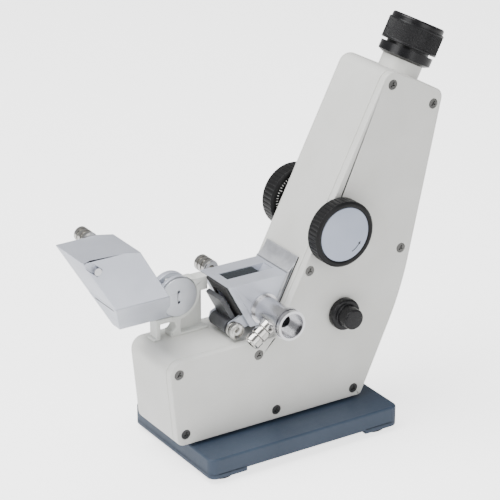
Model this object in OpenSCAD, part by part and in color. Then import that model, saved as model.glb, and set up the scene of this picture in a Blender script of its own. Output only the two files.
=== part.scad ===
/* [Base] */
// length of the base plate
base_length = 130; // [110:1:150]
// width of the base plate across the instrument
base_width = 88; // [74:1:100]
// thickness of the base plate over its end pads
base_thickness = 12.8; // [10:0.2:16]
// depth of the relief between the end pads
pad_relief = 2.5; // [1:0.1:4]
// length of each end pad
pad_length = 24; // [16:1:34]
// radius of the base plate's upright corners
base_corner_r = 5; // [2:0.5:10]
// radius of each rubber foot
foot_r = 8; // [5:0.5:10]
// height of each rubber foot
foot_height = 3; // [2:0.5:6]
// distance from a foot's centre to the base plate's sides
foot_inset = 12; // [10:0.5:16]
// thickness of the spacer between base and casing
spacer_thickness = 1.6; // [0.8:0.1:4]

/* [Casing] */
// width of the casing including its side cover
casing_width = 47.5; // [44:0.5:54]
// thickness of the screwed side cover
cover_thickness = 5; // [4:0.5:7]
// wall thickness of the casing
wall = 4; // [3:0.5:5]
// height of the casing's low front shelf above its bottom
shelf_height = 53; // [50:0.5:56]
// length of the telescope column's top face
column_top_length = 44; // [40:0.5:48]
// radius of the cover screw heads
screw_head_r = 2.8; // [2:0.1:3.2]
// radius of the cover screw shanks
screw_r = 1.5; // [1:0.1:2]
// depth of the recesses around the cover screw heads
screw_recess = 1.6; // [1:0.1:2.5]

/* [Wheels and knobs] */
// radius of the lock wheel
lock_wheel_r = 19.7; // [15:0.1:22]
// thickness of the lock wheel
lock_wheel_thickness = 10; // [7:0.5:13]
// number of ribs around the lock wheel
lock_rib_count = 44; // [30:2:54]
// radius of the satin disc in the lock wheel
lock_disc_r = 16.2; // [11:0.1:17]
// radius of the dispersion wheel
dispersion_wheel_r = 20; // [15:0.5:22]
// thickness of the dispersion wheel
dispersion_wheel_thickness = 11; // [7:0.5:13]
// radius of the wheel shafts
wheel_shaft_r = 4; // [3:0.1:5]
// radius of the index knob's flange
knob_flange_r = 9.6; // [8:0.1:12]
// radius of the index knob's tip
knob_tip_r = 6.2; // [4:0.1:7]
// how far the index knob stands out of the side cover
knob_reach = 13; // [9:0.5:16]
// radius of the index shaft
index_shaft_r = 3; // [2:0.1:4]
// radius of the graduated glass disc inside
scale_disc_r = 24; // [16:0.5:26]

/* [Eyepiece] */
// radius of the white eyepiece neck
neck_r = 12.3; // [11.5:0.1:14]
// visible length of the eyepiece neck
neck_length = 7.4; // [4:0.1:12]
// radius of the fixed ring under the dioptre ring
collar_r = 16; // [14.5:0.1:18]
// radius of the knurled dioptre ring
dioptre_r = 16.9; // [15.5:0.1:19]
// length of the knurled dioptre ring
dioptre_length = 13.3; // [10:0.1:16]
// thickness of the eye cap
cap_length = 3.3; // [2.5:0.1:5]
// radius of the opening in the eye cap
eye_aperture_r = 9; // [6:0.1:11]
// radius of the telescope tube
tube_r = 10; // [8:0.1:10.6]

/* [Prisms] */
// width of both prism housings across the instrument
prism_width = 31; // [28:0.5:33]
// height of the measuring plane above the shelf
plane_height = 33.5; // [33:0.1:34.2]
// length of the opening over the refracting prism
slot_length = 31; // [26:0.5:32]
// width of the opening over the refracting prism
slot_width = 10; // [7:0.5:14]
// radius of the hinge lugs and hinge cap
lug_r = 11.8; // [9:0.1:12]
// radius of the hinge pin
hinge_pin_r = 3; // [2:0.1:4]
// thickness of the shade plate
shade_thickness = 1.2; // [0.8:0.1:1.6]
// travel of the shade plate out of its slit
shade_travel = 20; // [10:1:22]

/* [Thermometer socket] */
// radius of the thermometer socket's mouth
thermo_bore_r = 7.4; // [6:0.1:7.8]
// radius of the thermometer socket's barrel
thermo_barrel_r = 7.8; // [7:0.1:8.2]
// depth of the thermometer socket's mouth
thermo_mouth = 8; // [6:0.5:10]
// reach of the thermometer socket from the housing's face
thermo_reach = 29.5; // [24:0.5:34]

/* [Hose nozzles] */
// largest radius of the hose nozzle barbs
barb_r = 4.9; // [3.6:0.1:5]
// bore radius of the hose nozzles
nozzle_bore_r = 2.2; // [1.5:0.1:2.4]

/* [Reflector] */
// length of the mirror plate
mirror_length = 23; // [16:0.5:24]
// width of the mirror plate along its shaft
mirror_width = 16; // [12:0.5:17]
// radius of the mirror shaft
mirror_shaft_r = 2; // [1.5:0.1:2.4]
// radius of the mirror shaft's knurled disc
mirror_knob_r = 4.9; // [3.5:0.1:5.2]

/* [Fits] */
// radial running clearance of every turning shaft
run_gap = 0.05; // [0.02:0.01:0.1]
// clearance between faces that move past each other
face_gap = 0.3; // [0.2:0.05:0.4]

/* [Hidden] */
$fn = 72;
pad_z = foot_height;
slab_z = foot_height + pad_relief;
base_top = foot_height + base_thickness;
floor_z = base_top + spacer_thickness;
shelf_z = floor_z + shelf_height;
near_y = 1.5 - casing_width / 2;
seam_y = near_y + cover_thickness;
far_y = 1.5 + casing_width / 2;
col_slope = 0.514;
col_tilt = atan(col_slope);
back_slope = 0.2165;
col_foot_x = -8.2;
// column front line at a height
function col_x(z) = col_foot_x + (z - shelf_z) * col_slope;
col_dir = [sin(col_tilt), cos(col_tilt)];
top_dir = [cos(col_tilt), -sin(col_tilt)];
top_corner = [67.5, shelf_z + 147.3];
top_far = top_corner + column_top_length * top_dir;
knee = [80.7, floor_z + 61.4];
casing_corners = [
    [-73.9, floor_z], [52.5, floor_z], knee, top_far, top_corner,
    [col_foot_x, shelf_z], [-79, shelf_z]
];
casing_radii = [5, 3, 190, 6, 7, 1.5, 8];
screw_at = [
    [-72.4, shelf_z - 7.7], [-68.5, floor_z + 6.9], [-7.3, floor_z + 6], [47, floor_z + 5.5],
    [79.1, floor_z + 88.5], top_far - 3.5 * top_dir - 8.9 * col_dir,
    top_corner + 7 * top_dir - 7.5 * col_dir, [15, shelf_z + 35.5], [-19.5, shelf_z - 8.7]
];
base_screw_at = [[-45, -8], [-45, 14], [35, -8], [35, 14]];
base_screw_r = 2.5;
lock_at = [31.3, 128.6];
dispersion_at = [40.7, 128.5];
index_at = [38, 74.4];
lock_back_y = near_y - 1.5;
lock_front_y = lock_back_y - lock_wheel_thickness;
disp_near_y = far_y + 1.75;
disp_far_y = disp_near_y + dispersion_wheel_thickness;
mount_corner_x = -127;
eye_foot = top_corner + 0.6 * column_top_length * top_dir;
collar_at = neck_length;
collar_length = 6.6;
groove = 1.4;
dioptre_at = collar_at + collar_length + groove;
cap_at = dioptre_at + dioptre_length;
sleeve_r = 13;
right_end = eye_foot[0] + cap_at * sin(col_tilt) + dioptre_r * cos(col_tilt);
mid_x = (right_end + mount_corner_x) / 2;
hinge_at = [-54, 94.7];
close_turn = 120.4;
plane_z = shelf_z + plane_height;
prism_near = -14;
prism_far = prism_near + prism_width;
face_dir = [sin(30.14), -cos(30.14)];
face_out = [cos(30.14), sin(30.14)];
face_low = [-73.1, 108.2];
face_high = face_low - 35.3 * face_dir;
part_z = 107.8;
end_slope = 0.609;
arm_bottom = 83.5;
knuckle_near = prism_far - 3.7;
knuckle_far = prism_far - 0.3;
cradle_r = 14.5;
lug_near = prism_far - 6.7;
gasket = 0.8;
thermo_at = [-11, 86];
mirror_at = [-30.5, 76.8];
left_out = [-0.882, -0.471];
left_up = [-0.471, 0.882];
left_foot = [-20, 76];
shade_z = 104.3;
hose_at = [-104.9, 138];

// rectangle beside the slanted side, from d0 to d1 away from it and t0 to t1 up along it
function beside(d0, t0, d1, t1) = [
    left_foot + d0 * left_out + t0 * left_up, left_foot + d0 * left_out + t1 * left_up,
    left_foot + d1 * left_out + t1 * left_up, left_foot + d1 * left_out + t0 * left_up
];
// outline with every corner turned into an arc
function unit(v) = v / norm(v);
function arc_corner(a, b, c, r, n) =
    let (u = unit(a - b))
    let (w = unit(c - b))
    let (half = acos(u * w) / 2)
    let (m = b + unit(u + w) * r / sin(half))
    let (p = b + u * r / tan(half) - m)
    let (q = b + w * r / tan(half) - m)
    let (t0 = atan2(p[1], p[0]))
    let (turn = (atan2(q[1], q[0]) - t0 + 540) % 360 - 180)
    [for (k = [0 : n]) m + r * [cos(t0 + turn * k / n), sin(t0 + turn * k / n)]];
function soften(pts, radii, n) =
    let (count = len(pts))
    [for (i = [0 : count - 1])
        each arc_corner(pts[(i + count - 1) % count], pts[i], pts[(i + 1) % count], radii[i], n)];
// the same outline moved inward by a distance
function inset(pts, d) =
    let (count = len(pts))
    [for (i = [0 : count - 1])
        let (u = unit(pts[i] - pts[(i + count - 1) % count]))
        let (w = unit(pts[(i + 1) % count] - pts[i]))
        pts[i] + d * [-u[1] - w[1], u[0] + w[0]] / (1 + u * w)];

module slab(pts, y0, y1) {
    translate([0, y1, 0])
        rotate([90, 0, 0])
            linear_extrude(height = y1 - y0)
                polygon(pts);
}

module rod(at, r, y0, y1) {
    translate([at[0], y1, at[1]])
        rotate([90, 0, 0])
            cylinder(r = r, h = y1 - y0);
}

module block(x0, x1, y0, y1, z0, z1) {
    translate([x0, y0, z0])
        cube([x1 - x0, y1 - y0, z1 - z0]);
}

module placed() {
    translate([-mid_x, 0, 0])
        children();
}

// stands children on the column's top, up along the telescope axis
module on_column() {
    translate([eye_foot[0], 1.5, eye_foot[1]])
        rotate([0, col_tilt, 0])
            children();
}

// light path from the refracting prism into the column
module light_port(r) {
    translate([-12, 1.5, shelf_z + 24])
        rotate([0, 90 + col_tilt, 0])
            cylinder(r = r, h = 40);
}

module base_plate() color([0.29, 0.36, 0.44]) placed() {
    half_l = base_length / 2;
    half_w = base_width / 2;
    difference() {
        translate([0, 0, pad_z])
            linear_extrude(height = base_thickness)
                polygon(soften([[-half_l, -half_w], [half_l, -half_w], [half_l, half_w],
                                [-half_l, half_w]], [for (i = [0 : 3]) base_corner_r], 8));
        block(-half_l + pad_length, half_l - pad_length, -half_w - 1, half_w + 1, pad_z - 1, slab_z);
        for (p = base_screw_at) {
            translate([p[0], p[1], 0])
                cylinder(r = base_screw_r + run_gap, h = base_top + 1);
            translate([p[0], p[1], 0])
                cylinder(r = base_screw_r + 2.2, h = slab_z + 3.2);
        }
    }
}

module base_feet() color([0.08, 0.08, 0.08]) placed()
    for (x = [-1, 1], y = [-1, 1])
        translate([x * (base_length / 2 - foot_inset), y * (base_width / 2 - foot_inset), 0])
            difference() {
                cylinder(r = foot_r, h = foot_height);
                translate([0, 0, -1])
                    cylinder(r = foot_r * 0.35, h = foot_height * 0.4 + 1);
            }

module base_spacer() color([0.12, 0.12, 0.13]) placed()
    difference() {
        block(-62, 46, -15, 19, base_top, floor_z);
        for (p = base_screw_at)
            translate([p[0], p[1], base_top - 1])
                cylinder(r = base_screw_r + run_gap, h = spacer_thickness + 2);
    }

module base_screws() color([0.55, 0.56, 0.58]) placed()
    for (p = base_screw_at)
        translate([p[0], p[1], slab_z + 0.4]) {
            difference() {
                cylinder(r = base_screw_r + 1.9, h = 2.8);
                translate([0, 0, -1])
                    cylinder(r = base_screw_r * 0.6, h = 2.6, $fn = 6);
            }
            translate([0, 0, 2.8])
                cylinder(r = base_screw_r, h = floor_z + 6 - slab_z - 3.2);
        }

module main_casing() color([0.84, 0.84, 0.82]) placed()
    difference() {
        union() {
            difference() {
                slab(soften(casing_corners, casing_radii, 7), seam_y, far_y);
                slab(inset(casing_corners, wall), seam_y - 1, far_y - wall);
            }
            intersection() {
                slab(casing_corners, seam_y, far_y - wall + 1);
                union() {
                    for (p = screw_at)
                        rod(p, screw_r + 2.1, seam_y, far_y - wall + 1);
                    for (p = base_screw_at)
                        translate([p[0], p[1], floor_z])
                            cylinder(r = base_screw_r + 2.6, h = wall + 5);
                }
            }
            rod(index_at, index_shaft_r + 3, far_y - wall - 8, far_y - wall + 1);
            rod(dispersion_at, wheel_shaft_r + 4, far_y - wall - 5, far_y - wall + 1);
        }
        for (p = screw_at)
            rod(p, screw_r + run_gap, seam_y - 1, seam_y + 9);
        for (p = base_screw_at)
            translate([p[0], p[1], floor_z - 1])
                cylinder(r = base_screw_r + run_gap, h = 7.5);
        rod(index_at, index_shaft_r + run_gap, far_y - wall - 9, far_y - wall - 1);
        rod(dispersion_at, wheel_shaft_r + run_gap, far_y - wall - 6, far_y + 1);
        rod(lock_at, wheel_shaft_r + run_gap, seam_y - 1, seam_y + 6.3);
        on_column()
            translate([0, 0, -wall - 3])
                cylinder(r = tube_r + run_gap, h = wall + 6);
        light_port(5);
    }

module side_cover() color([0.85, 0.85, 0.83]) placed()
    difference() {
        slab(soften(casing_corners, casing_radii, 7), near_y, seam_y);
        for (p = screw_at) {
            rod(p, screw_r + run_gap, near_y - 1, seam_y + 1);
            rod(p, screw_head_r + 0.3, near_y - 1, near_y + screw_recess);
        }
        rod(lock_at, wheel_shaft_r + run_gap, near_y - 1, seam_y + 1);
        rod(index_at, index_shaft_r + run_gap, near_y - 1, seam_y + 1);
    }

module cover_screws() color([0.4, 0.4, 0.4]) placed()
    for (p = screw_at)
        difference() {
            union() {
                rod(p, screw_head_r, near_y + 0.2, near_y + screw_recess);
                rod(p, screw_r, near_y + screw_recess, seam_y + 8);
            }
            for (t = [0, 90])
                translate([p[0], near_y + 0.5, p[1]])
                    rotate([0, t + 35, 0])
                        cube([screw_head_r * 1.2, 1.2, 0.7], center = true);
        }

module lock_wheel_rim() color([0.05, 0.05, 0.055]) placed()
    difference() {
        rod(lock_at, lock_wheel_r, lock_front_y, lock_back_y);
        rod(lock_at, lock_disc_r + 0.1, lock_front_y - 1, lock_front_y + 1.4);
        rod(lock_at, wheel_shaft_r, lock_front_y + 1, lock_back_y + 1);
        for (k = [0 : lock_rib_count - 1])
            translate([lock_at[0], lock_front_y + lock_wheel_thickness / 2, lock_at[1]])
                rotate([0, k * 360 / lock_rib_count, 0])
                    translate([lock_wheel_r, 0, 0])
                        cube([1.6, lock_wheel_thickness - 2.4, 1.1], center = true);
    }

module lock_wheel_disc() color([0.62, 0.66, 0.74]) placed()
    rod(lock_at, lock_disc_r, lock_front_y + 0.4, lock_front_y + 1.4);

module lock_shaft() color([0.6, 0.6, 0.62]) placed() {
    rod(lock_at, wheel_shaft_r, lock_front_y + 1.4, seam_y + 6);
    block(lock_at[0], lock_at[0] + 16, seam_y + 3, seam_y + 5.5, lock_at[1] - 2, lock_at[1] + 2);
}

module dispersion_wheel() color([0.05, 0.05, 0.055]) placed()
    difference() {
        rod(dispersion_at, dispersion_wheel_r, disp_near_y, disp_far_y);
        rod(dispersion_at, wheel_shaft_r, disp_near_y - 1, disp_far_y - 3);
        rod(dispersion_at, dispersion_wheel_r - 2.4, disp_near_y - 1, disp_near_y + 0.8);
        rod(dispersion_at, dispersion_wheel_r - 4, disp_far_y - 1, disp_far_y + 1);
        for (k = [0 : lock_rib_count - 1])
            translate([dispersion_at[0], (disp_near_y + disp_far_y) / 2, dispersion_at[1]])
                rotate([0, k * 360 / lock_rib_count, 0])
                    translate([dispersion_wheel_r, 0, 0])
                        cube([1.6, dispersion_wheel_thickness - 2.4, 1.1], center = true);
    }

module dispersion_scale() color([0.75, 0.75, 0.75]) placed()
    difference() {
        rod(dispersion_at, dispersion_wheel_r - 2.6, disp_near_y + 0.2, disp_near_y + 0.8);
        rod(dispersion_at, wheel_shaft_r + 4, disp_near_y - 1, disp_near_y + 2);
    }

module dispersion_shaft() color([0.6, 0.6, 0.62]) placed() {
    rod(dispersion_at, wheel_shaft_r, far_y - wall - 17, disp_far_y - 3);
    rod(dispersion_at, wheel_shaft_r + 8, far_y - wall - 15, far_y - wall - 5 - face_gap);
}

module index_knob() color([0.04, 0.04, 0.045]) placed()
    difference() {
        union() {
            rod(index_at, knob_flange_r, near_y - 0.38 * knob_reach, near_y - face_gap);
            rod(index_at, knob_tip_r, near_y - knob_reach, near_y - 1);
        }
        rod(index_at, index_shaft_r, near_y - knob_reach * 0.7, seam_y);
    }

module index_shaft() color([0.6, 0.6, 0.62]) placed()
    rod(index_at, index_shaft_r, near_y - knob_reach * 0.7, far_y - wall - 1.3);

module scale_disc() color([0.7, 0.8, 0.8, 0.5]) placed()
    difference() {
        rod(index_at, scale_disc_r, 2, 4);
        rod(index_at, index_shaft_r, 1, 5);
    }

module telescope_tube() color([0.1, 0.1, 0.11]) placed()
    on_column()
        difference() {
            translate([0, 0, -50])
                cylinder(r = tube_r, h = 50 + dioptre_at + 6);
            translate([0, 0, -51])
                cylinder(r = tube_r - 1.5, h = 52 + dioptre_at + 6);
        }

module objective_lens() color([0.7, 0.85, 0.9, 0.4]) placed()
    on_column()
        translate([0, 0, -48])
            cylinder(r = tube_r - 1.5, h = 3);

module eyepiece_neck() color([0.88, 0.88, 0.87]) placed()
    on_column()
        difference() {
            cylinder(r = neck_r, h = neck_length);
            translate([0, 0, -1])
                cylinder(r = tube_r + run_gap, h = neck_length + 2);
        }

module eyepiece_collar() color([0.05, 0.05, 0.05]) placed()
    on_column()
        difference() {
            union() {
                translate([0, 0, collar_at])
                    cylinder(r1 = collar_r - 3.2, r2 = collar_r, h = 1.5);
                translate([0, 0, collar_at + 1.5])
                    cylinder(r = collar_r, h = collar_length - 1.5);
                translate([0, 0, collar_at + 1.5])
                    cylinder(r = sleeve_r, h = cap_at - 2 - collar_at - 1.5);
            }
            translate([0, 0, collar_at - 1])
                cylinder(r = tube_r + run_gap, h = 60);
        }

module dioptre_ring() color([0.06, 0.06, 0.065]) placed()
    on_column()
        difference() {
            translate([0, 0, dioptre_at])
                cylinder(r = dioptre_r, h = dioptre_length);
            translate([0, 0, dioptre_at - 1])
                cylinder(r = sleeve_r + run_gap, h = dioptre_length - 0.7);
            translate([0, 0, dioptre_at])
                cylinder(r = eye_aperture_r, h = dioptre_length + 1);
            translate([0, 0, dioptre_at + dioptre_length * 0.5])
                rotate([90, 0, 0])
                    cylinder(r = 0.8, h = dioptre_r + 1);
        }

module eye_cap() color([0.04, 0.04, 0.04]) placed()
    on_column()
        translate([0, 0, cap_at])
            difference() {
                rotate_extrude()
                    polygon([[0, 0], [dioptre_r - 1, 0], [dioptre_r - 1, cap_length - 1.6],
                             [dioptre_r - 1.4, cap_length - 0.6], [dioptre_r - 2.4, cap_length],
                             [0, cap_length]]);
                translate([0, 0, -1])
                    cylinder(r = eye_aperture_r, h = cap_length + 2);
            }

module eye_lens() color([0.6, 0.75, 0.85, 0.4]) placed()
    on_column()
        translate([0, 0, cap_at - 0.8])
            rotate_extrude()
                polygon([[0, 0], [eye_aperture_r, 0], [eye_aperture_r, 1],
                         [eye_aperture_r * 0.75, 1.8], [eye_aperture_r * 0.5, 2.3],
                         [eye_aperture_r * 0.25, 2.6], [0, 2.7]]);

module prism_bracket() color([0.87, 0.88, 0.86]) placed()
    difference() {
        intersection() {
            union() {
                block(-68.8, -52.5, knuckle_near - 4.6, knuckle_far, shelf_z, arm_bottom - face_gap);
                rod(hinge_at, cradle_r, knuckle_near - 4.6, knuckle_far);
                slab([[-57, shelf_z], [-36, shelf_z], [-36, plane_z - face_gap - 0.2],
                      [-52, plane_z - face_gap - 0.2]], knuckle_near + 0.4, knuckle_far);
                slab([[-43.5, 95], [-34.5, 95], [-34.5, plane_z - face_gap - 0.2],
                      [-43.5, plane_z - face_gap - 0.2]], knuckle_near - 4.6, knuckle_far);
                block(-70.5, -34.5, knuckle_near - 4.6, knuckle_far, shelf_z, shelf_z + 1.4);
            }
            slab([[-80, shelf_z], [left_foot[0], shelf_z], left_foot,
                  left_foot + (plane_z - left_foot[1]) / left_up[1] * left_up + [-0.05, 0],
                  [-60, plane_z], [-60, arm_bottom - face_gap], [-80, arm_bottom - face_gap]],
                 knuckle_near - 5.3, prism_far);
        }
        rod(hinge_at, lug_r + face_gap, knuckle_near - 5.3, knuckle_near);
        rod(hinge_at, hinge_pin_r + run_gap, knuckle_near - 5.3, prism_far + 1);
        block(-80, -58.8 + face_gap, knuckle_near - 6, prism_far + 1, arm_bottom - face_gap, 120);
        block(-66, -59, knuckle_near - 5.3, prism_far + 1, shelf_z - 1, shelf_z + 9.6);
        rod([-59, shelf_z + 6.4], 3.2, knuckle_near - 5.3, prism_far + 1);
        slab([[-80, plane_z + 5], [-66, plane_z - 8], [-60.5, arm_bottom], [-80, arm_bottom - 0.1]],
             knuckle_near - 5.3, prism_far + 1);
    }

module prism_housing() color([0.73, 0.75, 0.8]) placed()
    difference() {
        slab([left_foot + [4, 0], [col_x(left_foot[1]) - 4.16, left_foot[1]],
              [col_x(plane_z) - 4.16, plane_z],
              left_foot + (plane_z - left_foot[1]) / left_up[1] * left_up + [4, 0]],
             prism_near, prism_far);
        translate([0, 0.5, 0])
            slab([[-28.5, plane_z + 1], [-28.5, plane_z - 0.7], [-14, plane_z - 20],
                  [-28.5 + slot_length, plane_z - 0.7], [-28.5 + slot_length, plane_z + 1]],
                 1.5 - slot_width / 2, 1.5 + slot_width / 2);
        light_port(5);
        rod(thermo_at, 3.5, prism_near - 1, prism_near + 8);
    }

module entry_frame() color([0.77, 0.79, 0.83]) placed()
    difference() {
        union() {
            slab([left_foot, left_foot + [4, 0],
                  left_foot + (plane_z - left_foot[1]) / left_up[1] * left_up + [4, 0],
                  left_foot + (plane_z - left_foot[1]) / left_up[1] * left_up],
                 prism_near, prism_far);
            for (y = [-11, 8.6])
                slab([left_foot + [2, 0], left_foot + 9 * left_up + [1, 0],
                      mirror_at + 3.6 * left_up, mirror_at + 3.6 * left_out,
                      mirror_at - 3.6 * left_up], y, y + 1.9);
        }
        rod(mirror_at, mirror_shaft_r + run_gap, -20, 20);
        slab([left_foot + 9 * left_up - 3 * left_out, left_foot + 9 * left_up + 3 * left_out,
              left_foot + 24 * left_up + 3 * left_out, left_foot + 24 * left_up - 6 * left_out],
             1.5 - slot_width / 2, 1.5 + slot_width / 2);
    }

module prism_flange() color([0.75, 0.77, 0.8]) placed()
    difference() {
        slab([[col_x(left_foot[1]) - 4.16, left_foot[1]],
              [col_x(left_foot[1]) - gasket, left_foot[1]],
              [col_x(plane_z + 8.6) - gasket, plane_z + 8.6],
              [col_x(plane_z + 8.6) - 1.6, plane_z + 8.6],
              [col_x(plane_z) - 4.16, plane_z + 0.4], [col_x(plane_z) - 4.16, plane_z]],
             prism_near, 18.5);
        rod([col_x(plane_z) - 12.1, plane_z + 14.3], 16, -17, 20);
        light_port(5);
    }

module flange_gasket() color([0.04, 0.04, 0.04]) placed()
    difference() {
        slab([[col_x(left_foot[1] + 0.3) - gasket, left_foot[1] + 0.3],
              [col_x(left_foot[1] + 0.3) - 0.08, left_foot[1] + 0.3],
              [col_x(plane_z + 8) - 0.08, plane_z + 8], [col_x(plane_z + 8) - gasket, plane_z + 8]],
             prism_near, 18.2);
        light_port(5);
    }

// black plate on the slanted side that keeps stray light out
module light_mask() color([0.03, 0.03, 0.03]) placed()
    difference() {
        union() {
            slab(beside(0, 10, 1.2, 31.2), prism_near + 1, 8.4);
            slab(beside(0, 0, 1.2, 11), -8.9, 8.4);
        }
        slab(beside(-1, 9, 3, 24), 1.5 - slot_width / 2, 1.5 + slot_width / 2);
    }

module refracting_prism() color([0.3, 0.36, 0.42, 0.6]) placed()
    translate([0, 0.5, 0])
        slab([[-28, plane_z - 0.8], [-14, plane_z - 18.8], [-4, plane_z - 5.5],
              [-6, plane_z - 0.8]],
             1.5 - slot_width / 2 + 0.1, 1.5 + slot_width / 2 - 0.1);

module thermometer_socket() color([0.78, 0.78, 0.82]) placed()
    difference() {
        union() {
            rod(thermo_at, thermo_barrel_r + 1.4, prism_near - 1.2, prism_near);
            rod(thermo_at, thermo_barrel_r, prism_near - thermo_reach + 1, prism_near);
            rod(thermo_at, thermo_barrel_r + 1.1, prism_near - thermo_reach,
                prism_near - thermo_reach + 2.4);
            rod(thermo_at, thermo_barrel_r + 1.5, prism_near - thermo_reach + 3.2,
                prism_near - thermo_reach + 5.6);
        }
        rod(thermo_at, thermo_bore_r, prism_near - thermo_reach - 1,
            prism_near - thermo_reach + thermo_mouth);
        rod(thermo_at, 3.8, prism_near - thermo_reach - 1, prism_near - 4);
        rod(thermo_at, 3.5, prism_near - 5, prism_near + 1);
        translate([thermo_at[0], -28, thermo_at[1]])
            rotate([0, -126, 0])
                cylinder(r = nozzle_bore_r, h = thermo_barrel_r + 1);
    }

// ringed nozzle standing on the plane z = 0
module nozzle(length, r, bore) {
    step = length / 3;
    difference() {
        union() {
            cylinder(r = r * 0.82, h = length);
            for (k = [0 : 2])
                translate([0, 0, step * k + 0.5]) {
                    cylinder(r = r, h = step * 0.7);
                    translate([0, 0, step * 0.7])
                        cylinder(r1 = r, r2 = r * 0.86, h = step * 0.12);
                }
        }
        translate([0, 0, -1])
            cylinder(r = bore, h = length + 2);
    }
}

module socket_nozzle() color([0.8, 0.81, 0.82]) placed()
    difference() {
        translate([thermo_at[0], -28, thermo_at[1]])
            rotate([0, -126, 0])
                translate([0, 0, thermo_barrel_r - 1.8])
                    nozzle(16, barb_r, nozzle_bore_r);
        rod(thermo_at, thermo_barrel_r, -40, -15);
    }

module housing_nozzle() color([0.5, 0.5, 0.5]) placed()
    translate([-27, prism_far, plane_z - 1])
        rotate([-90, 0, 0])
            nozzle(12, barb_r, nozzle_bore_r);

module mount_nozzle() color([0.5, 0.5, 0.5]) placed()
    translate([hose_at[0], prism_far, hose_at[1]])
        rotate([-90, 0, 0])
            nozzle(12, barb_r - 0.4, nozzle_bore_r);

module incident_housing() color([0.72, 0.75, 0.81]) placed()
    difference() {
        slab([[-107.2, part_z], [face_low[0] + 0.23, part_z], face_low, face_high, [-101, 140.6],
              [mount_corner_x, 140.3]], prism_near, prism_far);
        slab([face_low - 2 * face_dir + face_out, face_low - 33 * face_dir + face_out,
              face_low - 33 * face_dir - 0.6 * face_out, face_low - 17 * face_dir - 13 * face_out,
              face_low - 2 * face_dir - 0.6 * face_out],
             1.5 - slot_width / 2 - 1, 1.5 + slot_width / 2 + 1);
        translate([-119.9, prism_near, 135.2])
            rotate([0, 40, 0])
                cube([10, 3, 4.9], center = true);
        rod(hose_at, nozzle_bore_r, prism_far - 8, prism_far + 1);
    }

module incident_prism() color([0.75, 0.8, 0.83, 0.6]) placed()
    slab([face_low - 2.2 * face_dir - 0.3 * face_out, face_low - 32.8 * face_dir - 0.3 * face_out,
          face_low - 32.8 * face_dir - 0.7 * face_out,
          face_low - 17 * face_dir - 12.6 * face_out, face_low - 2.2 * face_dir - 0.7 * face_out],
         0.6 - slot_width / 2, 2.4 + slot_width / 2);

module latch_pin() color([0.85, 0.85, 0.87]) placed()
    rod([-117.9, 133.5], 2.2, prism_near - 1, prism_near + 1.5);

module hinge_arm() color([0.72, 0.75, 0.81]) placed()
    difference() {
        union() {
            slab([[-107.2, part_z], [-107.2 + (part_z - arm_bottom) * end_slope, arm_bottom],
                  [-58.8, arm_bottom], hinge_at + [-11.76, 0.87],
                  [face_low[0] + 0.23, part_z]], prism_near, prism_far);
            rod(hinge_at, lug_r, lug_near, knuckle_near - face_gap);
            slab([[-76, arm_bottom], [-54, arm_bottom - 0.5], hinge_at + [0, lug_r],
                  hinge_at + [-8, 9.2], [-76, 107]], prism_far, prism_far + 4);
            rod(hinge_at, lug_r, prism_far, prism_far + 4);
        }
        translate([-120, 0, 0])
            rotate([90, 0, 90])
                linear_extrude(height = 90)
                    polygon([[prism_near, part_z - 0.1], [lug_near - 1, arm_bottom - 0.2], [lug_near - 1, 80],
                             [prism_near - 6, 80], [prism_near - 6, part_z - 0.1]]);
        rod(hinge_at, lug_r + 0.5, prism_near - 1, lug_near - 2.3);
        rod(hinge_at, lug_r + 0.02, lug_near - 2.4, lug_near);
        rod(hinge_at, cradle_r + face_gap, knuckle_near - face_gap, prism_far);
        rod(hinge_at, hinge_pin_r, 5, 25);
        block(-130, -80.9, -8.5, 13.5, shade_z - 0.05, shade_z + shade_thickness + 0.05);
    }

module hinge_pin() color([0.7, 0.7, 0.72]) placed()
    rod(hinge_at, hinge_pin_r, lug_near - 0.6, prism_far + 4.6);

module hinge_cap() color([0.8, 0.81, 0.84]) placed()
    difference() {
        rod(hinge_at, lug_r, lug_near - 2.3, lug_near);
        rod(hinge_at, hinge_pin_r, lug_near - 0.6, lug_near + 1);
        for (z = [-3.2, 3.2])
            rod(hinge_at + [0, z], 0.8, lug_near - 3, lug_near - 1);
    }

module shade_plate() color([0.3, 0.31, 0.33]) placed()
    block(-105.1, -81, -8.4, 13.4, shade_z, shade_z + shade_thickness);

module mirror_frame() color([0.3, 0.31, 0.33]) placed()
    difference() {
        union() {
            slab(beside(3.2, 1.5, 6, 1.5 + mirror_length),
                 -0.5 - mirror_width / 2, -0.5 + mirror_width / 2);
            rod(mirror_at, mirror_shaft_r + 2.2, -0.5 - mirror_width / 2, -0.5 + mirror_width / 2);
        }
        rod(mirror_at, mirror_shaft_r, -20, 20);
        slab(beside(2.6, 3.5, 4.1, mirror_length - 0.5), 1 - mirror_width / 2, -2 + mirror_width / 2);
    }

module mirror_glass() color([0.75, 0.78, 0.8]) placed()
    slab(beside(3.25, 3.6, 4.1, mirror_length - 0.6), 1.1 - mirror_width / 2, -2.1 + mirror_width / 2);

module mirror_shaft() color([0.6, 0.6, 0.62]) placed()
    rod(mirror_at, mirror_shaft_r, -15, 10.9);

module mirror_knob() color([0.7, 0.69, 0.66]) placed()
    difference() {
        union() {
            rod(mirror_at, mirror_knob_r, -17, -14);
            rod(mirror_at, mirror_knob_r - 1.4, -14, -13.2);
            rod(mirror_at, mirror_knob_r - 0.3, -13.2, -11.4);
        }
        rod(mirror_at, mirror_shaft_r, -15, -10);
    }

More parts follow.
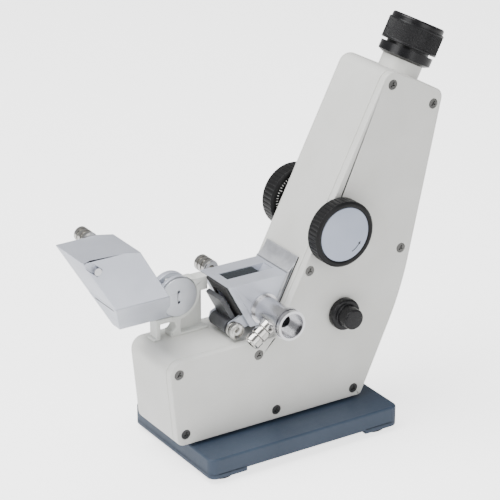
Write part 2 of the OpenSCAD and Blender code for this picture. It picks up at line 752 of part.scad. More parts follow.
base_plate();
base_feet();
base_spacer();
base_screws();
main_casing();
side_cover();
cover_screws();
lock_wheel_rim();
lock_wheel_disc();
lock_shaft();
dispersion_wheel();
dispersion_scale();
dispersion_shaft();
index_knob();
index_shaft();
scale_disc();
telescope_tube();
objective_lens();
eyepiece_neck();
eyepiece_collar();
dioptre_ring();
eye_cap();
eye_lens();
prism_bracket();
prism_housing();
entry_frame();
prism_flange();
light_mask();
flange_gasket();
refracting_prism();
thermometer_socket();
socket_nozzle();
housing_nozzle();
incident_housing();
hinge_arm();
incident_prism();
hinge_pin();
hinge_cap();
latch_pin();
mount_nozzle();
shade_plate();
mirror_frame();
mirror_glass();
mirror_shaft();
mirror_knob();
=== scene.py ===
import math

import bmesh
import bpy
import numpy as np
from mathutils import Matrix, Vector


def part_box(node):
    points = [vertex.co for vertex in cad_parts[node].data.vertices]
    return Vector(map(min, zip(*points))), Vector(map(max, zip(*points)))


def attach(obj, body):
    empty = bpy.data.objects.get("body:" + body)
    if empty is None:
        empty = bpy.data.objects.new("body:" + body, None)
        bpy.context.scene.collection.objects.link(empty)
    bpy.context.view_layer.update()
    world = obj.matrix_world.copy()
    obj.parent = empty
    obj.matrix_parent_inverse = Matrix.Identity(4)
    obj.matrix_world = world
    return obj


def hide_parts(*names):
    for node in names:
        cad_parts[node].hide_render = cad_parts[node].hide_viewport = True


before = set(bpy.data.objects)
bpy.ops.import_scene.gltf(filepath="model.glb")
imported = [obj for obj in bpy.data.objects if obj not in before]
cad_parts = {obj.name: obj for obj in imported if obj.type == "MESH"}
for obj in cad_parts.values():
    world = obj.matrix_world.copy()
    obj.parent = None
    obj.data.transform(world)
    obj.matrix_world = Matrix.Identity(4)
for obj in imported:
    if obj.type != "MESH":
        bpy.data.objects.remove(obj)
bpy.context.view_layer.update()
mm = 0.001


# centre of a CAD node's box
def middle(node):
    low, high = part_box(node)
    return np.array((low + high) / 2)


# the base plate's centre is where every upright size is counted from
baseX = middle("base_plate")[0]
print("frame loaded")


def nodeTree(name):
    mat = bpy.data.materials.new(name)
    mat.use_nodes = True
    tree = mat.node_tree
    shader = tree.nodes["Principled BSDF"]
    coords = tree.nodes.new("ShaderNodeTexCoord")
    return mat, tree, shader, coords


# colour drifts between two tones on a wide noise, roughness on a middle noise, and a fine noise lifts
# the bump
def finish(name, look):
    mat, tree, shader, coords = nodeTree(name)
    link = tree.links.new
    wide = tree.nodes.new("ShaderNodeTexNoise")
    wide.inputs["Scale"].default_value = look.get("driftScale", 40)
    wide.inputs["Detail"].default_value = 5
    link(coords.outputs["Object"], wide.inputs["Vector"])
    tones = tree.nodes.new("ShaderNodeValToRGB")
    tones.color_ramp.elements[0].position = 0.35
    tones.color_ramp.elements[1].position = 0.65
    tones.color_ramp.elements[0].color = (*look["dark"], 1)
    tones.color_ramp.elements[1].color = (*look["light"], 1)
    link(wide.outputs["Fac"], tones.inputs["Fac"])
    link(tones.outputs["Color"], shader.inputs["Base Color"])
    patches = tree.nodes.new("ShaderNodeTexNoise")
    patches.inputs["Scale"].default_value = look.get("patchScale", 260)
    patches.inputs["Detail"].default_value = 4
    link(coords.outputs["Object"], patches.inputs["Vector"])
    sheen = tree.nodes.new("ShaderNodeMapRange")
    sheen.inputs["To Min"].default_value = look["rough"] - look.get("roughDrift", 0.06)
    sheen.inputs["To Max"].default_value = look["rough"] + look.get("roughDrift", 0.06)
    link(patches.outputs["Fac"], sheen.inputs["Value"])
    link(sheen.outputs["Result"], shader.inputs["Roughness"])
    grain = tree.nodes.new("ShaderNodeTexNoise")
    grain.inputs["Scale"].default_value = look.get("grainScale", 2500)
    grain.inputs["Detail"].default_value = 2
    stretch = tree.nodes.new("ShaderNodeMapping")
    stretch.inputs["Scale"].default_value = look.get("grainStretch", (1, 1, 1))
    link(coords.outputs["Object"], stretch.inputs["Vector"])
    link(stretch.outputs["Vector"], grain.inputs["Vector"])
    bump = tree.nodes.new("ShaderNodeBump")
    bump.inputs["Strength"].default_value = look.get("bump", 0.15)
    bump.inputs["Distance"].default_value = look.get("bumpDepth", 0.0001)
    link(grain.outputs["Fac"], bump.inputs["Height"])
    link(bump.outputs["Normal"], shader.inputs["Normal"])
    shader.inputs["Metallic"].default_value = look.get("metal", 0)
    shader.inputs["Coat Weight"].default_value = look.get("coat", 0)
    shader.inputs["Coat Roughness"].default_value = look.get("coatRough", 0.2)
    shader.inputs["Specular IOR Level"].default_value = look.get("specular", 0.5)
    return mat


# fine rings round the Y axis through centre, as a lathe leaves them, lift the bump and drift the tone
def turnedFinish(name, look, centre, ringScale):
    mat = finish(name, look)
    tree = mat.node_tree
    link = tree.links.new
    coords = next(n for n in tree.nodes if n.type == "TEX_COORD")
    place = tree.nodes.new("ShaderNodeMapping")
    place.inputs["Location"].default_value = (-centre[0], -centre[1], -centre[2])
    rings = tree.nodes.new("ShaderNodeTexWave")
    rings.wave_type = "RINGS"
    rings.rings_direction = "Y"
    rings.inputs["Scale"].default_value = ringScale
    rings.inputs["Distortion"].default_value = 0.6
    rings.inputs["Detail"].default_value = 2
    link(coords.outputs["Object"], place.inputs["Vector"])
    link(place.outputs["Vector"], rings.inputs["Vector"])
    bump = next(n for n in tree.nodes if n.type == "BUMP")
    link(rings.outputs["Fac"], bump.inputs["Height"])
    return mat


# one tint, with a noise that clouds the roughness a little
def glassFinish(name, look):
    mat, tree, shader, coords = nodeTree(name)
    link = tree.links.new
    cloud = tree.nodes.new("ShaderNodeTexNoise")
    cloud.inputs["Scale"].default_value = look.get("cloudScale", 400)
    link(coords.outputs["Object"], cloud.inputs["Vector"])
    haze = tree.nodes.new("ShaderNodeMapRange")
    haze.inputs["To Min"].default_value = look["rough"]
    haze.inputs["To Max"].default_value = look["rough"] + 0.05
    link(cloud.outputs["Fac"], haze.inputs["Value"])
    link(haze.outputs["Result"], shader.inputs["Roughness"])
    shader.inputs["Base Color"].default_value = (*look["tint"], 1)
    shader.inputs["Transmission Weight"].default_value = look["clear"]
    shader.inputs["IOR"].default_value = look.get("ior", 1.52)
    return mat


paintLook = {"dark": (0.63, 0.63, 0.60), "light": (0.67, 0.67, 0.645), "rough": 0.36,
             "grainScale": 900, "bump": 0.22, "bumpDepth": 0.00012, "coat": 0.15}
blueLook = {"dark": (0.030, 0.046, 0.074), "light": (0.037, 0.055, 0.086), "rough": 0.42, "specular": 0.35,
            "grainScale": 1500, "bump": 0.35, "bumpDepth": 0.00016}
silverLook = {"dark": (0.56, 0.585, 0.66), "light": (0.63, 0.655, 0.73), "rough": 0.38, "metal": 0.5,
              "grainScale": 1400, "grainStretch": (0.25, 1, 1), "bump": 0.12}
blastLook = {"dark": (0.46, 0.47, 0.50), "light": (0.58, 0.59, 0.62), "rough": 0.46, "metal": 0.85,
             "grainScale": 2600, "bump": 0.5, "bumpDepth": 0.0002, "driftScale": 200}
brightLook = {"dark": (0.62, 0.62, 0.64), "light": (0.74, 0.74, 0.76), "rough": 0.24, "metal": 1,
              "grainScale": 900, "grainStretch": (1, 5, 1), "bump": 0.1}
capLook = brightLook | {"dark": (0.5, 0.52, 0.56), "light": (0.6, 0.62, 0.66), "rough": 0.34}
chromeLook = {"dark": (0.50, 0.49, 0.47), "light": (0.66, 0.65, 0.62), "rough": 0.16, "metal": 1,
              "grainScale": 1800, "bump": 0.05}
steelLook = {"dark": (0.28, 0.28, 0.27), "light": (0.42, 0.41, 0.40), "rough": 0.32, "metal": 1,
             "grainScale": 1800, "bump": 0.15}
screwLook = steelLook | {"dark": (0.10, 0.10, 0.098), "light": (0.17, 0.168, 0.16)}
blackLook = {"dark": (0.005, 0.005, 0.0055), "light": (0.010, 0.010, 0.0105), "rough": 0.40,
             "grainScale": 1900, "bump": 0.22, "specular": 0.2}
glossBlackLook = {"dark": (0.005, 0.005, 0.006), "light": (0.009, 0.009, 0.010), "rough": 0.27,
                  "grainScale": 1200, "bump": 0.08, "specular": 0.28}
rubberLook = {"dark": (0.010, 0.010, 0.010), "light": (0.022, 0.022, 0.022), "rough": 0.75,
              "grainScale": 1600, "bump": 0.4}
whiteCastLook = {"dark": (0.66, 0.67, 0.64), "light": (0.74, 0.75, 0.72), "rough": 0.45,
                 "grainScale": 700, "bump": 0.5, "bumpDepth": 0.0002}
darkMetalLook = {"dark": (0.05, 0.052, 0.058), "light": (0.11, 0.113, 0.12), "rough": 0.38, "metal": 0.6,
                 "grainScale": 1200, "bump": 0.2}
discLook = {"dark": (0.36, 0.40, 0.50), "light": (0.41, 0.45, 0.55), "rough": 0.38, "metal": 0.45,
            "grainScale": 2000, "bump": 0.08}
mirrorLook = {"dark": (0.70, 0.72, 0.75), "light": (0.78, 0.80, 0.83), "rough": 0.08, "roughDrift": 0.03,
              "metal": 1, "bump": 0.02}
markLook = {"dark": (0.02, 0.02, 0.025), "light": (0.03, 0.03, 0.035), "rough": 0.5}
paleMarkLook = {"dark": (0.70, 0.70, 0.68), "light": (0.80, 0.80, 0.78), "rough": 0.5}

mats = {
    "paint": finish("offWhitePaint", paintLook),
    "blue": finish("slateBluePaint", blueLook),
    "silver": finish("satinPlatedSilver", silverLook),
    "blast": finish("blastedSilver", blastLook),
    "bright": finish("turnedBrightMetal", brightLook),
    "chrome": finish("nickelPlate", chromeLook),
    "steel": finish("darkSteel", steelLook),
    "darkScrew": finish("darkScrew", screwLook),
    "black": finish("blackWheelPlastic", blackLook),
    "glossBlack": finish("blackEyepieceFinish", glossBlackLook),
    "rubber": finish("footRubber", rubberLook),
    "cast": finish("whiteCasting", whiteCastLook),
    "darkMetal": finish("blackenedMetal", darkMetalLook),
    "disc": turnedFinish("anodisedDisc", discLook, middle("lock_wheel_disc"), 900),
    "cap": turnedFinish("turnedCap", capLook, middle("hinge_cap"), 700),
    "mark": finish("darkMark", markLook),
    "paleMark": finish("paleMark", paleMarkLook),
    "clear": glassFinish("clearGlass", {"tint": (0.92, 0.96, 0.98), "rough": 0.02, "clear": 1.0}),
    # the refracting prism's near-black tint and low clearness are painted shade, standing in for how dark the
    # polished clear prism face looks
    "prism": glassFinish("darkPrismGlass", {"tint": (0.02, 0.025, 0.03), "rough": 0.16, "clear": 0.1,
                                            "ior": 1.33}),
    "frost": glassFinish("frostedPrismGlass", {"tint": (0.62, 0.67, 0.70), "rough": 0.42,
                                               "clear": 0.4, "cloudScale": 1500}),
    "mirror": finish("silveredMirror", mirrorLook),
}

nodeFinish = {
    # the base spacer is a supposed part in the gap under the casing; its near-black blackened metal is
    # painted shade for the shadow line in that gap
    "base_plate": "blue", "base_feet": "rubber", "base_spacer": "darkMetal", "base_screws": "steel",
    "main_casing": "paint", "side_cover": "paint", "cover_screws": "darkScrew",
    "lock_wheel_rim": "black", "lock_wheel_disc": "disc", "lock_shaft": "steel",
    "dispersion_wheel": "black", "dispersion_scale": "black", "dispersion_shaft": "steel",
    "index_knob": "glossBlack", "index_shaft": "steel", "scale_disc": "clear",
    "telescope_tube": "black", "objective_lens": "clear", "eyepiece_neck": "paint",
    "eyepiece_collar": "glossBlack", "dioptre_ring": "black", "eye_cap": "glossBlack",
    "eye_lens": "clear", "prism_bracket": "cast", "prism_housing": "silver",
    "entry_frame": "silver", "light_mask": "rubber", "flange_gasket": "rubber",
    "prism_flange": "blast", "refracting_prism": "prism",
    "thermometer_socket": "bright", "socket_nozzle": "chrome", "housing_nozzle": "chrome",
    "incident_housing": "silver", "hinge_arm": "silver", "incident_prism": "frost",
    "hinge_pin": "steel", "hinge_cap": "cap", "latch_pin": "bright", "mount_nozzle": "chrome",
    "shade_plate": "darkMetal", "mirror_frame": "darkMetal", "mirror_glass": "mirror",
    "mirror_shaft": "steel", "mirror_knob": "chrome",
}
for nodeName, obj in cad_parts.items():
    obj.data.materials.clear()
    obj.data.materials.append(mats[nodeFinish[nodeName]])
print("materials made")


# quads between neighbours of a rows by cols grid; the columns join up when closed
def gridFaces(rows, cols, closed):
    across = cols if closed else cols - 1
    r, c = np.meshgrid(np.arange(rows - 1), np.arange(across), indexing="ij")
    n = (c + 1) % cols
    quads = np.stack([r * cols + c, r * cols + n, (r + 1) * cols + n, (r + 1) * cols + c], -1)
    return quads.reshape(-1, 4)


# joins grids into one closed mesh; caps are rings of vertex numbers closed with one face each
def piece(name, parts, matName, body, sharp=35, caps=()):
    verts, faces, offset = [], [], 0
    for points, quads in parts:
        verts.append(points.reshape(-1, 3))
        faces += (quads + offset).tolist()
        offset += points.size // 3
    faces += [list(ring) for ring in caps]
    mesh = bpy.data.meshes.new(name)
    mesh.from_pydata(np.concatenate(verts).tolist(), [], faces)
    bm = bmesh.new()
    bm.from_mesh(mesh)
    bmesh.ops.remove_doubles(bm, verts=bm.verts, dist=1e-7)
    bmesh.ops.dissolve_degenerate(bm, dist=1e-8, edges=bm.edges)
    bmesh.ops.recalc_face_normals(bm, faces=bm.faces)
    for face in bm.faces:
        face.smooth = True
    for edge in bm.edges:
        if len(edge.link_faces) == 2 and edge.calc_face_angle(0) > math.radians(sharp):
            edge.smooth = False
    bm.to_mesh(mesh)
    bm.free()
    obj = bpy.data.objects.new(name, mesh)
    bpy.context.scene.collection.objects.link(obj)
    if caps:
        even = obj.modifiers.new("evenShading", "WEIGHTED_NORMAL")
        even.mode = "FACE_AREA"
        even.weight = 100
        even.keep_sharp = True
    mesh.materials.append(mats[matName])
    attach(obj, body)
    return obj


# each corner becomes an arc tangent to its two sides: centre on the bisector at radius over sin of
# half the angle
def arcCorners(corners, radii, steps):
    count = len(corners)
    out = []
    for i in range(count):
        a, b, c = corners[i - 1], corners[i], corners[(i + 1) % count]
        u, w = (a - b) / np.linalg.norm(a - b), (c - b) / np.linalg.norm(c - b)
        half = math.acos(float(np.clip(u @ w, -1, 1))) / 2
        bis = (u + w) / np.linalg.norm(u + w)
        m = b + bis * radii[i] / math.sin(half)
        p, q = b + u * radii[i] / math.tan(half) - m, b + w * radii[i] / math.tan(half) - m
        start = math.atan2(p[1], p[0])
        turn = (math.atan2(q[1], q[0]) - start + 3 * math.pi) % (2 * math.pi) - math.pi
        t = start + turn * np.linspace(0, 1, steps + 1)
        out.append(m + radii[i] * np.stack([np.cos(t), np.sin(t)], -1))
    return np.concatenate(out)


# every side moves inward by d, and corners stay where their two sides meet
def moveIn(corners, d):
    before, after = corners - np.roll(corners, 1, 0), np.roll(corners, -1, 0) - corners
    u = before / np.linalg.norm(before, axis=1)[:, None]
    w = after / np.linalg.norm(after, axis=1)[:, None]
    lean = np.stack([-u[:, 1] - w[:, 1], u[:, 0] + w[:, 0]], -1)
    turning = u[:, 0] * w[:, 1] - u[:, 1] * w[:, 0]
    return corners + d * lean / (1 + (u * w).sum(1))[:, None], turning > 0


# the inset outline: outward corners lose d of their radius and inward corners gain it
def outlineAt(corners, radii, d, steps):
    moved, convex = moveIn(corners, d)
    return arcCorners(moved, np.where(convex, np.maximum(radii - d, 0.25), radii + d), steps)


# the outline at every (height, inset) level, stacked into a wall, with both ends closed
def prismShell(corners, radii, levels, steps, place):
    rings = np.stack([place(outlineAt(corners, radii, inset, steps), height) for height, inset in levels])
    rows, cols = rings.shape[:2]
    ends = [list(range(cols)), list(range((rows - 1) * cols, rows * cols))]
    return (rings, gridFaces(rows, cols, True)), ends


# quarter circles of inset at both ends of a wall from low to high
def roundedLevels(low, high, lowR, highR, steps=5):
    t = np.linspace(0, math.pi / 2, steps + 1)
    first = [(low + lowR * (1 - math.sin(a)), lowR * (1 - math.cos(a))) for a in t[::-1]]
    last = [(high - highR * (1 - math.sin(a)), highR * (1 - math.cos(a))) for a in t]
    return first + last


# carries (radius, height) points round an axis; wave(angle, height) adds to the radius
def turned(profile, origin, axis, count, wave=None):
    axis = np.array(axis, float) / np.linalg.norm(axis)
    side = np.cross(axis, (0.0, 1.0, 0.0) if abs(axis[1]) < 0.9 else (0.0, 0.0, 1.0))
    side /= np.linalg.norm(side)
    other = np.cross(axis, side)
    angle = np.linspace(0, 2 * math.pi, count, endpoint=False)
    r, h = profile[:, 0][:, None], profile[:, 1][:, None]
    r = np.repeat(r, count, 1)
    if wave is not None:
        r = r + wave(angle[None, :], h)
    round3 = np.cos(angle)[None, :, None] * side + np.sin(angle)[None, :, None] * other
    points = np.array(origin) + r[..., None] * round3 + h[..., None] * axis
    return points, gridFaces(len(profile), count, True)


# an open (radius, height) line with its inner corners rounded
def softProfile(corners, radii, steps=4):
    pts = [np.array(c, float) for c in corners]
    out = [pts[0]]
    for i in range(1, len(pts) - 1):
        if radii[i] <= 0:
            out.append(pts[i])
            continue
        out += list(arcCorners(np.array([pts[i - 1], pts[i], pts[i + 1]]), [1e-6, radii[i], 1e-6],
                               steps)[steps + 1:2 * (steps + 1)])
    return np.array(out + [pts[-1]])


# takes every point within reach of the first one left as one group, and gives the groups' means
def clusterCentres(points, reach):
    centres = []
    while len(points):
        near = np.linalg.norm(points - points[0], axis=1) < reach
        centres.append(points[near].mean(0))
        points = points[~near]
    return centres


# a merged copy of a CAD node with its edges rounded over, but not those round the holes
def softened(node, width, body, segments=2, holes=(), holeReach=0):
    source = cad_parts[node]
    mesh = source.data.copy()
    bm = bmesh.new()
    bm.from_mesh(mesh)
    bmesh.ops.remove_doubles(bm, verts=bm.verts, dist=2e-6)
    for face in bm.faces:
        face.smooth = True
    chosen = bm.edges.layers.float.new("bevel_weight_edge")
    for edge in bm.edges:
        spot = np.array((edge.verts[0].co + edge.verts[1].co) / 2)[[0, 2]]
        angled = len(edge.link_faces) == 2 and edge.calc_face_angle(0) > math.radians(32)
        if angled:
            edge.smooth = False
        if angled and all(np.linalg.norm(spot - hole) > holeReach * mm for hole in holes):
            edge[chosen] = 1
            edge.smooth = True
    bm.to_mesh(mesh)
    bm.free()
    name = "".join(w.capitalize() for w in node.split("_"))
    obj = bpy.data.objects.new(name[0].lower() + name[1:] + "Body", mesh)
    bpy.context.scene.collection.objects.link(obj)
    bevel = obj.modifiers.new("softEdges", "BEVEL")
    bevel.width = width * mm
    bevel.segments = segments
    bevel.limit_method = "WEIGHT"
    bevel.use_clamp_overlap = False
    even = obj.modifiers.new("evenShading", "WEIGHTED_NORMAL")
    even.mode = "FACE_AREA"
    even.weight = 100
    even.keep_sharp = True
    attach(obj, body)
    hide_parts(node)
    return obj


base = {"length": 130, "width": 88, "pad": 24, "cornerR": 5, "edgeR": 1.3, "padZ": 3, "slabZ": 5.5,
        "topZ": 15.8}
halfL, halfW = base["length"] / 2, base["width"] / 2


def placeFlat(outline, z):
    return np.stack([outline[:, 0] * mm + baseX, outline[:, 1] * mm,
                     np.full(len(outline), z * mm)], -1)


def rectangle(x0, x1, y0, y1):
    return np.array([[x0, y0], [x1, y0], [x1, y1], [x0, y1]], float)


baseParts, baseCaps, counted = [], [], 0
for corners, radii, levels in (
    (rectangle(-halfL, halfL, -halfW, halfW), np.full(4, base["cornerR"], float),
     roundedLevels(base["slabZ"], base["topZ"], 0.3, base["edgeR"])),
    (rectangle(-halfL, -halfL + base["pad"], -halfW, halfW),
     np.array([base["cornerR"], 0.4, 0.4, base["cornerR"]]),
     roundedLevels(base["padZ"], base["slabZ"] + 1, 0.8, 0.2)),
    (rectangle(halfL - base["pad"], halfL, -halfW, halfW),
     np.array([0.4, base["cornerR"], base["cornerR"], 0.4]),
     roundedLevels(base["padZ"], base["slabZ"] + 1, 0.8, 0.2)),
):
    part, ends = prismShell(corners, radii, levels, 8, placeFlat)
    baseParts.append(part)
    baseCaps += [[i + counted for i in ring] for ring in ends]
    counted += part[0].size // 3
basePiece = piece("baseCasting", baseParts, "blue", "instrument", caps=baseCaps)
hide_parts("base_plate")

casing = {"floorZ": 17.4, "shelfZ": 70.4, "seamY": -17.25, "farY": 25.25, "farR": 4.5, "seamR": 0.5,
          "slope": 0.514, "topLength": 44}
tilt = math.atan(casing["slope"])
topCorner = np.array([67.5, casing["shelfZ"] + 147.3])
alongTop = np.array([math.cos(tilt), -math.sin(tilt)])
casingCorners = np.array([
    [-73.9, casing["floorZ"]], [52.5, casing["floorZ"]], [80.7, casing["floorZ"] + 61.4],
    topCorner + casing["topLength"] * alongTop, topCorner, [-8.2, casing["shelfZ"]],
    [-79, casing["shelfZ"]]])
casingRadii = np.array([5, 3, 190, 6, 7, 1.5, 8.0])


def placeSide(outline, y):
    return np.stack([outline[:, 0] * mm + baseX, np.full(len(outline), y * mm),
                     outline[:, 1] * mm], -1)


part, ends = prismShell(casingCorners, casingRadii,
                        roundedLevels(casing["seamY"], casing["farY"], casing["seamR"], casing["farR"], 7),
                        12, placeSide)
casingPiece = piece("casingShell", [part], "paint", "instrument", caps=ends)
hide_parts("main_casing")
cover = {"edge": 0.9, "steps": 3, "holeReach": 4, "screwSpread": 12}
screwPoints = np.array([v.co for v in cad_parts["cover_screws"].data.vertices])[:, [0, 2]]
softened("side_cover", cover["edge"], "instrument", cover["steps"],
         clusterCentres(screwPoints, cover["screwSpread"] * mm), cover["holeReach"])
print("base and casing made")


# half-round ribs with narrow valleys, fading out over run at both ends of the rim
def ribs(count, depth, low, high, run):
    def wave(angle, h):
        valley = np.abs(np.sin(angle * count / 2)) ** 0.6
        fade = np.clip(np.minimum(h - low, high - h) / run, 0, 1)
        return -depth * (1 - valley) * fade
    return wave


lock = {"r": 19.7, "thick": 10, "ribs": 44, "ribDepth": 0.9, "plain": 0.9, "discR": 16.2,
        "lipIn": 0.9}
rimLow, rimHigh = (np.array(v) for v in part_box("lock_wheel_rim"))
rimAxis = (rimLow + rimHigh) / 2
lockProfile = softProfile(
    [(4.2, 0), (lock["r"] - 1, 0), (lock["r"], 1), (lock["r"], lock["thick"] - 1),
     (lock["r"] - 1.3, lock["thick"]), (lock["discR"] + lock["lipIn"], lock["thick"]),
     (lock["discR"] + 0.15, lock["thick"] - 0.5), (lock["discR"] + 0.15, lock["thick"] - 1.4),
     (4.2, lock["thick"] - 1.4), (4.2, 0)],
    [0, 0.4, 0.6, 0.6, 0.5, 0.4, 0, 0, 0, 0], 4) * mm
lockStart = np.array([rimAxis[0], rimHigh[1], rimAxis[2]])


# only the outer wall of the rim takes the ribs: the wave is scaled by how near a point is to the full
# radius
def ribbedRim(look, profile, start, axis):
    wave = ribs(look["ribs"], look["ribDepth"] * mm, look["plain"] * mm,
                (look["thick"] - look["plain"]) * mm, 1.0 * mm)
    points, quads = turned(profile, start, axis, look["ribs"] * 12)
    axisVec = np.array(axis, float)
    rel = points - start
    height = rel @ axisVec
    out = rel - height[..., None] * axisVec
    radius = np.linalg.norm(out, axis=-1)
    angle = np.linspace(0, 2 * math.pi, points.shape[1], endpoint=False)[None, :]
    near = np.clip((radius - (look["r"] - 1.2) * mm) / (1.2 * mm), 0, 1)
    dr = wave(angle, height) * near
    points = points + out / radius[..., None] * dr[..., None]
    return points, quads


lockRim = piece("lockRim", [ribbedRim(lock, lockProfile, lockStart, (0, -1, 0))],
                "black", "lock_wheel", 40)
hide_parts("lock_wheel_rim")

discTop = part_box("lock_wheel_disc")[0][1]
discProfile = softProfile([(0, 0), (lock["discR"] - 0.05, 0), (lock["discR"] - 0.05, 1.0), (0, 1.0)],
                          [0, 0, 0.25, 0]) * mm
discPiece = piece("lockDisc", [turned(discProfile, (rimAxis[0], discTop + 1.0 * mm, rimAxis[2]),
                                      (0, -1, 0), 128)], "disc", "lock_wheel")
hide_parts("lock_wheel_disc")

# a curved arrow near the disc's lower edge: a bent ribbon and a three-sided head
arrow = {"r": 12.4, "halfWidth": 0.28, "from": -66, "to": -38, "headLength": 9, "headHalf": 1.0,
         "lift": 0.03, "tailSteps": 25, "headSteps": 9}


# each station along the arc is a box of the ribbon's width and lift; the head narrows from headHalf
def ribbon(centre, y, look):
    tail = np.radians(np.linspace(look["from"], look["to"], look["tailSteps"]))
    head = np.radians(np.linspace(look["to"], look["to"] + look["headLength"], look["headSteps"]))
    half = np.concatenate([np.full(look["tailSteps"], look["halfWidth"]),
                           np.linspace(look["headHalf"], 0.02, look["headSteps"])])
    angle = np.concatenate([tail, head])
    count = len(angle)
    rows = []
    for side, depth in ((-1, 0), (-1, 1), (1, 1), (1, 0)):
        r = (look["r"] + side * half) * mm
        rows.append(np.stack([centre[0] + r * np.cos(angle), np.full(count, y - depth * look["lift"] * mm),
                              centre[2] + r * np.sin(angle)], -1))
    grid = np.stack(rows + rows[:1])
    quads = gridFaces(len(grid), count, False)
    ends = [[row * count + at for row in range(4)] for at in (0, count - 1)]
    return grid, quads, ends


arrowGrid, arrowQuads, arrowEnds = ribbon(rimAxis, discTop, arrow)
piece("lockArrow", [(arrowGrid, arrowQuads)], "mark", "lock_wheel", caps=arrowEnds)

far = {"r": 20, "thick": 11, "ribs": 44, "ribDepth": 0.9, "plain": 0.9}
farLow, farHigh = (np.array(v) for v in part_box("dispersion_wheel"))
farAxis = (farLow + farHigh) / 2
farProfile = softProfile(
    [(4.2, 0.8), (far["r"] - 2.4, 0.8), (far["r"] - 2.4, 0), (far["r"] - 1, 0), (far["r"], 1),
     (far["r"], far["thick"] - 1), (far["r"] - 1.2, far["thick"]), (far["r"] - 3.5, far["thick"]),
     (far["r"] - 4, far["thick"] - 1), (0, far["thick"] - 1)],
    [0, 0, 0, 0.4, 0.6, 0.6, 0.5, 0.4, 0, 0], 4) * mm
farStart = np.array([farAxis[0], farLow[1], farAxis[2]])
farRim = piece("farRim", [ribbedRim(far, farProfile, farStart, (0, 1, 0))],
               "black", "dispersion", 40)
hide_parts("dispersion_wheel")

# pale ticks on the face turned to the casing: every fifth is longer
ticks = {"count": 60, "r": 16.6, "short": 1.3, "long": 2.3, "halfWidth": 0.22, "lift": 0.03}
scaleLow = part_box("dispersion_scale")[0][1]
number = np.arange(ticks["count"])
angle = 2 * math.pi * number / ticks["count"]
length = np.where(number % 5 == 0, ticks["long"], ticks["short"])
outward = np.stack([np.cos(angle), np.zeros_like(angle), np.sin(angle)], -1)
sideways = np.stack([-np.sin(angle), np.zeros_like(angle), np.cos(angle)], -1)
centre3 = np.array([farAxis[0], scaleLow, farAxis[2]])
cornersOfTick = []
for depth in (0.0, -ticks["lift"]):
    for rSign, wSign in ((0, -1), (1, -1), (1, 1), (0, 1)):
        cornersOfTick.append(
            centre3 + outward * ((ticks["r"] - rSign * length) * mm)[:, None]
            + sideways * (wSign * ticks["halfWidth"] * mm) + np.array([0, depth * mm, 0]))
tickVerts = np.stack(cornersOfTick, 1)
sides = np.array([[0, 1, 2, 3], [4, 7, 6, 5], [0, 4, 5, 1], [1, 5, 6, 2], [2, 6, 7, 3], [3, 7, 4, 0]])
tickFaces = (sides[None] + 8 * number[:, None, None]).reshape(-1, 4)
piece("farScaleTicks", [(tickVerts, tickFaces)], "paleMark", "dispersion")

knob = {"flangeR": 9.6, "tipR": 6.2, "reach": 13, "flange": 4.94}
knobLow, knobHigh = (np.array(v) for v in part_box("index_knob"))
knobAxis = (knobLow + knobHigh) / 2
knobProfile = softProfile(
    [(3.02, 0), (knob["flangeR"], 0), (knob["flangeR"], knob["flange"] - 0.3),
     (knob["tipR"] + 0.4, knob["flange"] - 0.3), (knob["tipR"], knob["reach"] - 0.3),
     (0, knob["reach"] - 0.3)],
    [0, 0.3, 1.4, 0.8, 1.2, 0], 6) * mm
knobPiece = piece("indexKnobBody", [turned(knobProfile, (knobAxis[0], knobHigh[1], knobAxis[2]),
                                       (0, -1, 0), 96)], "glossBlack", "index", 60)
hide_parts("index_knob")
print("wheels and knobs made")

eye = {"ringR": 16.9, "from": 15.4, "length": 13.3, "bore": 13.05, "aperture": 9, "knurlCount": 84,
       "knurlDepth": 0.55, "capLength": 3.3}
eyeAxis = np.array([math.sin(tilt), 0, math.cos(tilt)])
neckFoot = topCorner + 0.6 * casing["topLength"] * alongTop
eyeFoot = np.array([neckFoot[0] * mm + baseX, 1.5 * mm, neckFoot[1] * mm])


# two families of slanted grooves cross into diamonds; the groove depth follows the smaller of their two sines
def diamondKnurl(angle, h):
    low, high = eye["from"] * mm, (eye["from"] + eye["length"]) * mm
    inBand = np.clip(np.minimum(h - low - 1.1 * mm, high - 1.1 * mm - h) / (0.4 * mm), 0, 1)
    climb = (h - low) / (eye["ringR"] * mm) * eye["knurlCount"]
    a = np.abs(np.sin((angle * eye["knurlCount"] + climb) / 2))
    b = np.abs(np.sin((angle * eye["knurlCount"] - climb) / 2))
    return -eye["knurlDepth"] * mm * (1 - np.minimum(a, b) ** 0.8) * inBand


capFrom = eye["from"] + eye["length"]
wallSteps = 64
outer = np.stack([np.full(wallSteps, eye["ringR"]),
                  np.linspace(eye["from"] + 0.5, capFrom - 0.5, wallSteps)], -1)
ringOutline = np.concatenate([
    [[eye["bore"], eye["from"]], [eye["ringR"] - 0.5, eye["from"]]], outer,
    [[eye["ringR"] - 0.5, capFrom], [eye["aperture"], capFrom],
     [eye["aperture"], capFrom - 1.7], [eye["bore"], capFrom - 1.7],
     [eye["bore"], eye["from"]]]]) * mm
wallRows = (ringOutline[:, 0] > (eye["ringR"] - 0.1) * mm)[:, None]


def wallOnly(angle, h):
    return diamondKnurl(angle, h) * wallRows


ringPiece = piece("knurledRing", [turned(ringOutline, eyeFoot, eyeAxis, 840, wallOnly)],
                  "glossBlack", "dioptre", 70)
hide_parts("dioptre_ring")

capProfile = softProfile(
    [(eye["aperture"], capFrom), (eye["ringR"] - 1, capFrom), (eye["ringR"] - 1, capFrom + eye["capLength"]),
     (eye["aperture"] + 3, capFrom + eye["capLength"]), (eye["aperture"] + 0.6, capFrom + 1.2),
     (eye["aperture"], capFrom + 0.8), (eye["aperture"], capFrom)],
    [0, 0, 1.5, 0.9, 0.4, 0, 0], 6) * mm
capPiece = piece("eyeCapRing", [turned(capProfile, eyeFoot, eyeAxis, 160)], "glossBlack", "dioptre",
                 50)
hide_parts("eye_cap")
print("eyepiece made")

